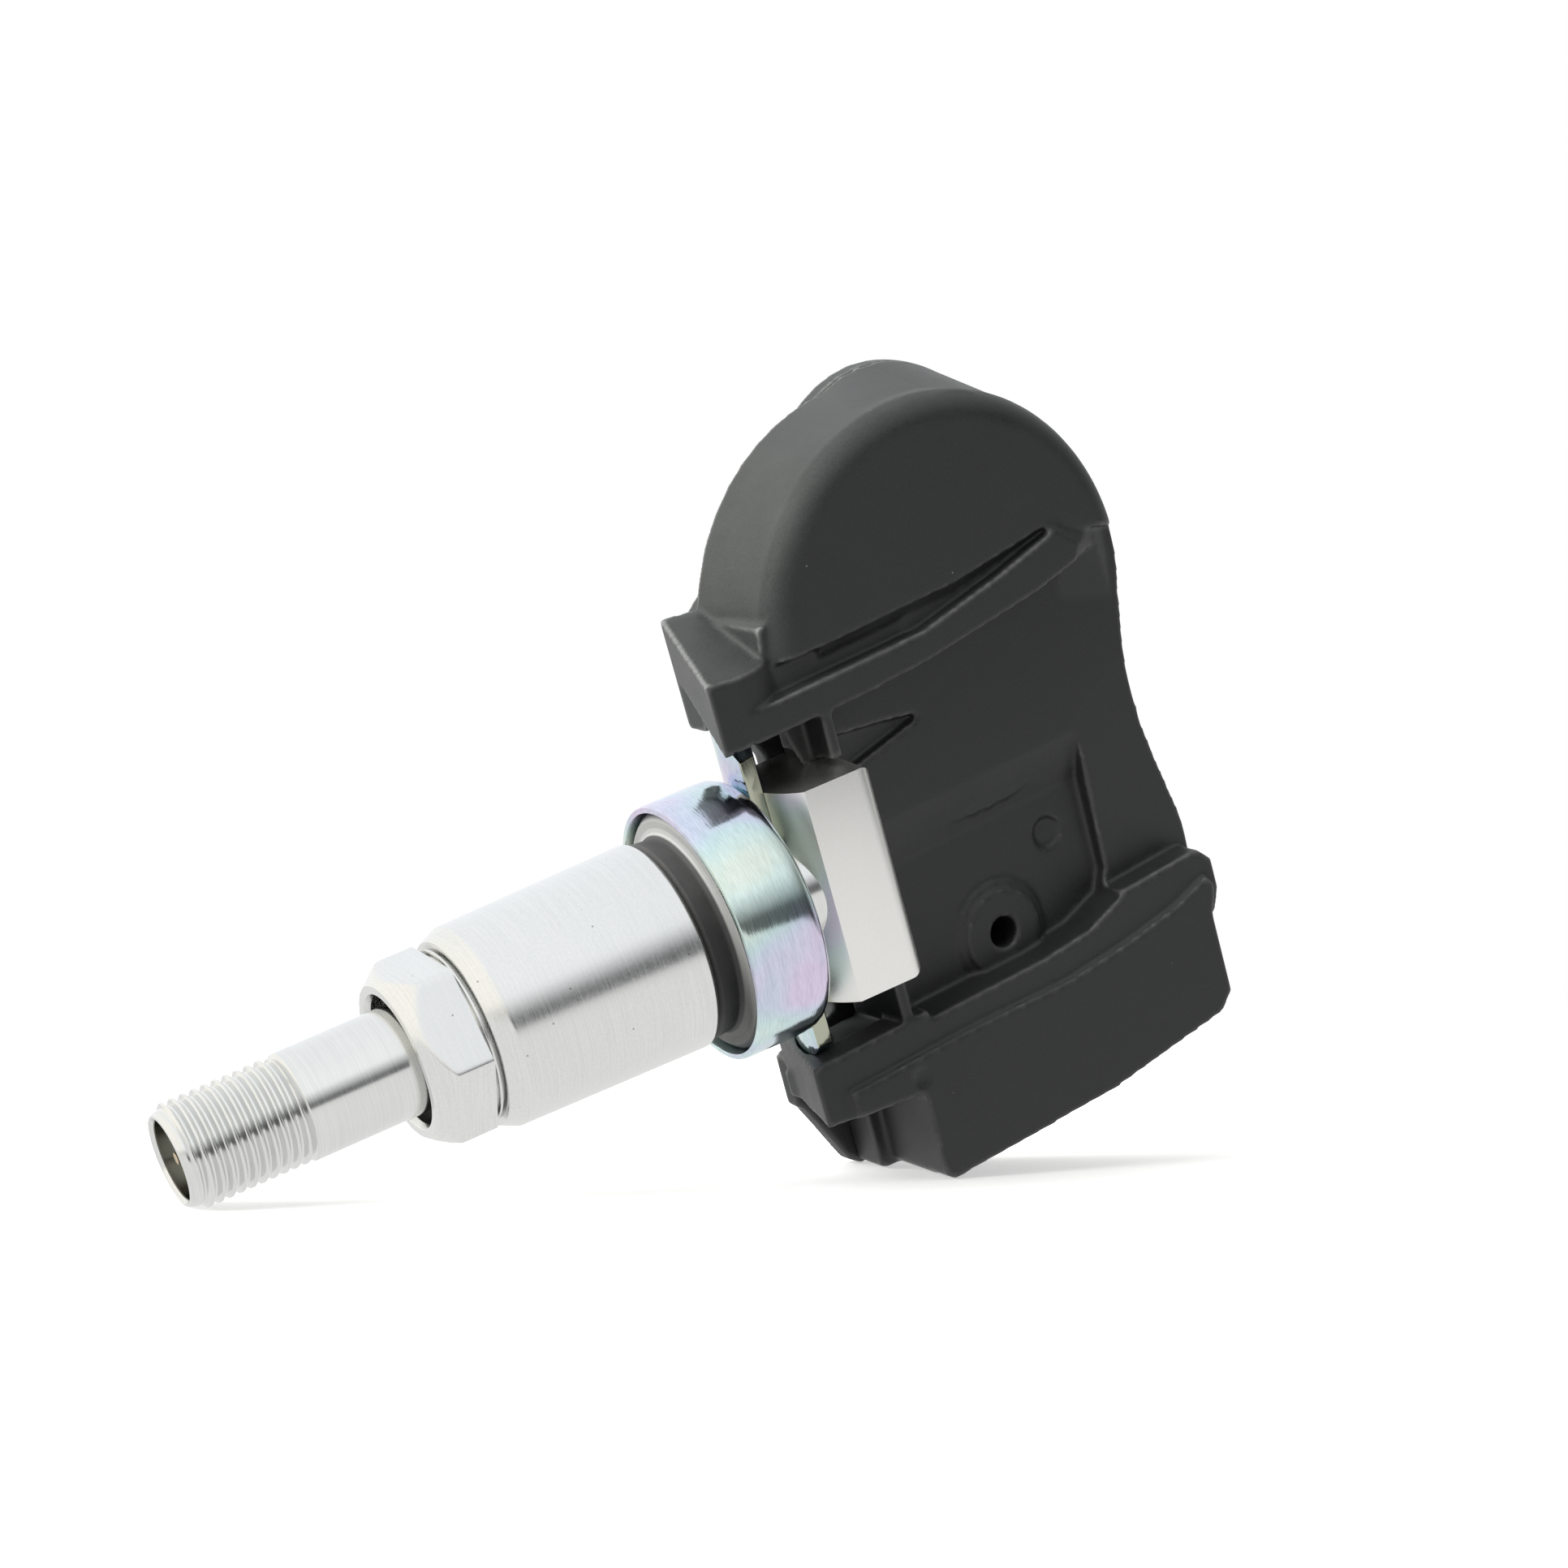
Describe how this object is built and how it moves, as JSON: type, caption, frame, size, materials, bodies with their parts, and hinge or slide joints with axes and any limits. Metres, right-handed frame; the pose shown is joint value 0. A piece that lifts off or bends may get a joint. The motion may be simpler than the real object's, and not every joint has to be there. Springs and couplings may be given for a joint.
{
  "type": "tyre pressure sensor",
  "caption": "Wheel-mounted tyre pressure sensor: nylon housing on a swivelling clamp-in aluminium valve stem with collar nut, cup washer and rubber grommet.",
  "frame": {"origin": "on the stem's axis, at the face of the rubber grommet that seals against the inside of the rim", "axes": "-X along the stem to its tip, +Z along the housing to the round battery end, -Y to the housing's front with the pressure port"},
  "size_m": [0.0819, 0.0213, 0.056],
  "materials": {
    "stem_aluminium": "satin, turned",
    "nut_aluminium": "satin, turned",
    "core_brass": "nickel-washed brass",
    "pin_brass": "turned",
    "core_rubber": "matte",
    "spring_steel": "drawn wire",
    "grommet_rubber": "matte moulded",
    "zinc_plate": "zinc plated with a passivated sheen",
    "nylon_black": "fine spark-eroded grain",
    "cover_black": "fine grain",
    "cell_steel": "bright",
    "tab_nickel": "nickel plated",
    "board_green": "solder resist",
    "chip_black": "moulded",
    "capacitor_ceramic": "sintered",
    "ferrite": "sintered",
    "copper_wire": "enamelled wire",
    "bobbin_plastic": "moulded"
  },
  "bodies": {
    "stem": {"valve_stem": "stem_aluminium", "core_barrel": "core_brass", "core_gasket": "core_rubber", "core_spring": "spring_steel", "sealing_grommet": "grommet_rubber", "cup_washer": "zinc_plate"},
    "core_plunger": {"core_pin": "pin_brass", "core_seal": "core_rubber"},
    "nut": {"collar_nut": "nut_aluminium"},
    "housing": {"housing_shell": "nylon_black", "back_cover": "cover_black", "saddle_plate": "zinc_plate", "coin_cell": "cell_steel", "cell_tab_front": "tab_nickel", "cell_tab_back": "tab_nickel", "circuit_board": "board_green", "sensor_module": "chip_black", "port_seal": "core_rubber", "radio_chip": "chip_black", "crystal": "tab_nickel", "chip_capacitors": "capacitor_ceramic", "antenna_core": "ferrite", "antenna_coil": "copper_wire", "antenna_bobbin": "bobbin_plastic"}
  },
  "joints": [
    {"name": "housing_swivel", "type": "hinge", "parent": "stem", "child": "housing", "pos_m": [0.01633, 0, 0], "axis": [0, 0, 1], "range_deg": [-6, 15]},
    {"name": "nut_turn", "type": "hinge", "parent": "stem", "child": "nut", "pos_m": [0, 0, 0], "axis": [1, 0, 0], "continuous": true},
    {"name": "core_press", "type": "slide", "parent": "stem", "child": "core_plunger", "axis": [1, 0, 0], "range_m": [0, 0.001], "stiffness_N_per_m": 700, "springref_m": -0.0015, "deforming": ["core_spring"]}
  ]
}
